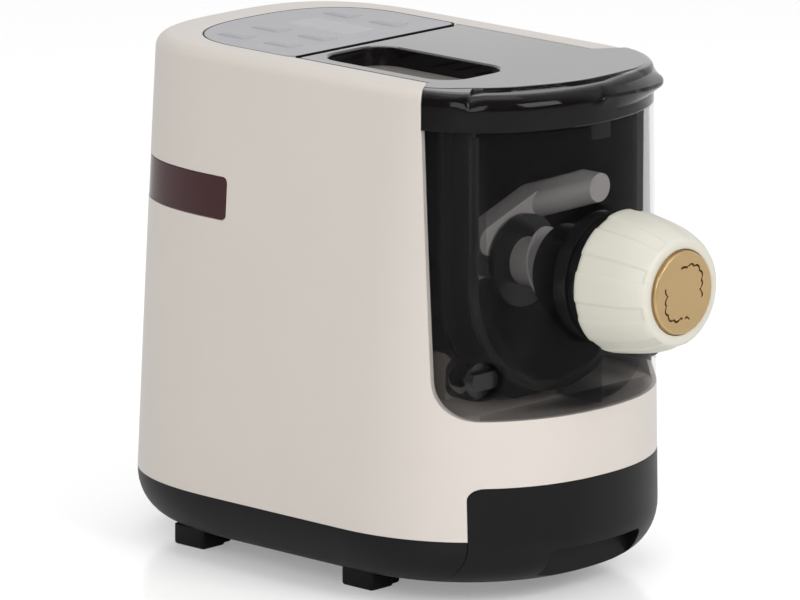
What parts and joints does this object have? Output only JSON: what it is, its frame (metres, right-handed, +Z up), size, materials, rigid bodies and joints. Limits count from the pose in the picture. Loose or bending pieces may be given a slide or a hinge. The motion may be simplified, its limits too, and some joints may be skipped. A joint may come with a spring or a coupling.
{
  "type": "electric pasta maker",
  "caption": "Table-top electric pasta maker with a mixing bowl, a driven auger and a screwed die holder, a hinged lid, a storage drawer and pressed keys.",
  "frame": {"origin": "middle of the footprint, on the table", "axes": "+Z up, -Y to the front where the pasta comes out, +X to the user's right when facing the front"},
  "size_m": [0.214, 0.385, 0.3012],
  "materials": {
    "white_plastic": "satin moulded",
    "black_plastic": "fine satin",
    "grey_plastic": "satin membrane",
    "display": "glossy window",
    "smoked_plastic": "polished, tinted, see-through",
    "gloss_black": "mirror gloss",
    "seal_rubber": "matt rubber",
    "cast_metal": "as cast",
    "steel": "turned",
    "copper": "lacquered winding",
    "circuit_board": "solder mask",
    "brass": "turned, satin face",
    "holder_plastic": "satin ivory",
    "paddle_plastic": "satin moulded",
    "gear_nylon": "moulded nylon"
  },
  "bodies": {
    "machine": {"housing": "white_plastic", "base_pan": "black_plastic", "feet": "black_plastic", "control_panel": "grey_plastic", "display_lens": "display", "side_band": "gloss_black", "bay_floor": "white_plastic", "bulkhead": "black_plastic", "bowl": "black_plastic", "bowl_seal": "seal_rubber", "gearbox_case": "cast_metal", "gearbox_cover": "cast_metal", "shaft_bearings": "steel", "idler_shaft": "steel", "motor_can": "steel", "motor_end_bells": "black_plastic", "motor_stator": "copper", "motor_cradle": "steel", "power_board": "circuit_board", "display_board": "circuit_board", "power_inlet": "black_plastic", "lid_switch": "black_plastic", "base_screws": "steel", "gearbox_screws": "steel"},
    "lid": {"lid": "smoked_plastic", "lid_hinge_pin": "steel", "lid_latch": "smoked_plastic"},
    "drawer": {"drawer": "black_plastic", "spare_die_lasagne": "brass", "spare_die_spaghetti": "brass"},
    "front_cover": {"front_cover": "smoked_plastic", "cover_seal": "seal_rubber", "barrel": "black_plastic", "die": "brass"},
    "lock_knob_left": {"lock_knob_left": "black_plastic"},
    "lock_knob_right": {"lock_knob_right": "black_plastic"},
    "die_holder": {"die_holder": "holder_plastic"},
    "mixer": {"mixing_paddle": "paddle_plastic", "auger": "paddle_plastic", "drive_coupling": "black_plastic", "output_shaft": "steel", "output_gear": "gear_nylon"},
    "idler": {"idler_gear": "steel"},
    "motor_rotor": {"motor_rotor": "steel", "motor_pinion": "steel", "motor_fan": "black_plastic"},
    "key_power": {"key_power": "grey_plastic"},
    "key_start": {"key_start": "grey_plastic"},
    "key_menu": {"key_menu": "grey_plastic"},
    "key_water": {"key_water": "grey_plastic"},
    "key_time": {"key_time": "grey_plastic"},
    "key_speed": {"key_speed": "grey_plastic"}
  },
  "joints": [
    {"name": "lid_hinge", "type": "hinge", "parent": "machine", "child": "lid", "pos_m": [0, 0.045, 0.2956], "axis": [-1, 0, 0], "range_deg": [0, 90]},
    {"name": "drawer_slide", "type": "slide", "parent": "machine", "child": "drawer", "axis": [0, -1, 0], "range_m": [0, 0.11]},
    {"name": "cover_slide", "type": "slide", "parent": "machine", "child": "front_cover", "axis": [0, -1, 0], "range_m": [0, 0.1]},
    {"name": "lock_left_turn", "type": "hinge", "parent": "front_cover", "child": "lock_knob_left", "pos_m": [-0.07303, -0.0995, 0.135], "axis": [0, 1, 0], "range_deg": [0, 90]},
    {"name": "lock_right_turn", "type": "hinge", "parent": "front_cover", "child": "lock_knob_right", "pos_m": [0.07303, -0.0995, 0.135], "axis": [0, 1, 0], "range_deg": [0, 90]},
    {"name": "die_holder_turn", "type": "hinge", "parent": "front_cover", "child": "die_holder", "pos_m": [0, -0.16, 0.188], "axis": [0, 1, 0], "range_deg": [0, 180]},
    {"name": "mixer_spin", "type": "hinge", "parent": "machine", "child": "mixer", "pos_m": [0, 0, 0.188], "axis": [0, 1, 0], "continuous": true},
    {"name": "idler_spin", "type": "hinge", "parent": "machine", "child": "idler", "pos_m": [0, 0.075, 0.1505], "axis": [0, 1, 0], "continuous": true},
    {"name": "motor_spin", "type": "hinge", "parent": "machine", "child": "motor_rotor", "pos_m": [0, 0.12, 0.113], "axis": [0, 1, 0], "continuous": true},
    {"name": "key_power_press", "type": "slide", "parent": "machine", "child": "key_power", "axis": [0, 0, -1], "range_m": [0, 0.0008], "stiffness_N_per_m": 600},
    {"name": "key_start_press", "type": "slide", "parent": "machine", "child": "key_start", "axis": [0, 0, -1], "range_m": [0, 0.0008], "stiffness_N_per_m": 600},
    {"name": "key_menu_press", "type": "slide", "parent": "machine", "child": "key_menu", "axis": [0, 0, -1], "range_m": [0, 0.0008], "stiffness_N_per_m": 600},
    {"name": "key_water_press", "type": "slide", "parent": "machine", "child": "key_water", "axis": [0, 0, -1], "range_m": [0, 0.0008], "stiffness_N_per_m": 600},
    {"name": "key_time_press", "type": "slide", "parent": "machine", "child": "key_time", "axis": [0, 0, -1], "range_m": [0, 0.0008], "stiffness_N_per_m": 600},
    {"name": "key_speed_press", "type": "slide", "parent": "machine", "child": "key_speed", "axis": [0, 0, -1], "range_m": [0, 0.0008], "stiffness_N_per_m": 600}
  ],
  "couplings": [
    {"joint": "idler_spin", "follows": "mixer_spin", "ratio": -4},
    {"joint": "motor_spin", "follows": "mixer_spin", "ratio": 16}
  ]
}
